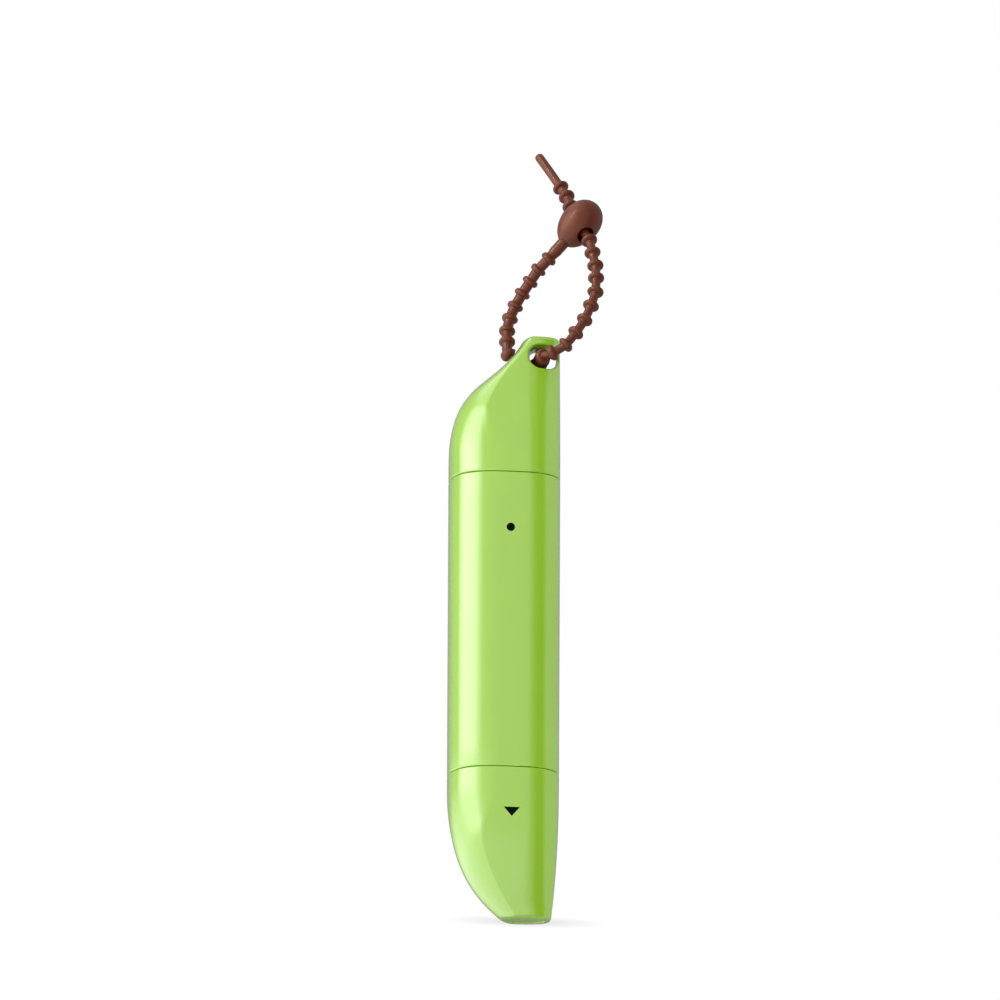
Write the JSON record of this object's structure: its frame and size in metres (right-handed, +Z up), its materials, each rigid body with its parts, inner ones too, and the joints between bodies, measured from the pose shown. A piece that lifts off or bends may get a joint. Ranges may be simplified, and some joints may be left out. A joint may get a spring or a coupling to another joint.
{
  "type": "stain remover pen",
  "caption": "Double-ended stain remover pen: pressed felt nib under a slanted cap with a lanyard hole and a beaded silicone tie, brush under the lower slanted cap.",
  "frame": {"origin": "middle of the pen's outline at the height of the brush cap's foot", "axes": "+Z up the pen, -Y the printed front, +X towards the straight edge that carries the lanyard tongue"},
  "size_m": [0.0372, 0.0343, 0.1905],
  "materials": {
    "green_shell": "polished moulding",
    "milky_plastic": "translucent satin",
    "collar_plastic": "satin",
    "white_plastic": "satin",
    "valve_plastic": "satin",
    "seal_rubber": "matte",
    "spring_wire": "drawn wire",
    "felt": "porous felt",
    "bristle_nylon": "fine filament",
    "brown_silicone": "satin moulding"
  },
  "bodies": {
    "barrel": {"barrel_shell": "green_shell", "reservoir_bottle": "milky_plastic", "reservoir_plug": "milky_plastic", "plug_seal": "seal_rubber", "bottle_seal": "seal_rubber", "remover_collar": "collar_plastic", "nib_guide": "white_plastic", "valve_body": "valve_plastic", "valve_seat": "seal_rubber", "valve_spring": "spring_wire", "brush_collar": "collar_plastic", "brush_head": "white_plastic", "bristles": "bristle_nylon"},
    "applicator": {"valve_stem": "valve_plastic", "nib": "felt"},
    "remover_cap": {"remover_cap_shell": "green_shell", "remover_cap_liner": "milky_plastic"},
    "brush_cap": {"brush_cap_shell": "green_shell", "brush_cap_liner": "milky_plastic"},
    "tie": {"strap": "brown_silicone", "strap_lock": "brown_silicone"}
  },
  "joints": [
    {"name": "remover_cap_pull", "type": "slide", "parent": "barrel", "child": "remover_cap", "axis": [0, 0, 1], "range_m": [0, 0.03]},
    {"name": "brush_cap_pull", "type": "slide", "parent": "barrel", "child": "brush_cap", "axis": [0, 0, -1], "range_m": [0, 0.03]},
    {"name": "nib_press", "type": "slide", "parent": "barrel", "child": "applicator", "axis": [0, 0, -1], "range_m": [0, 0.0015], "stiffness_N_per_m": 800, "springref_m": -0.00125, "deforming": ["valve_spring"]},
    {"name": "tie_swing", "type": "hinge", "parent": "remover_cap", "child": "tie", "pos_m": [0.0088, 0, 0.135], "axis": [0, 1, 0], "range_deg": [-60, 100]}
  ]
}
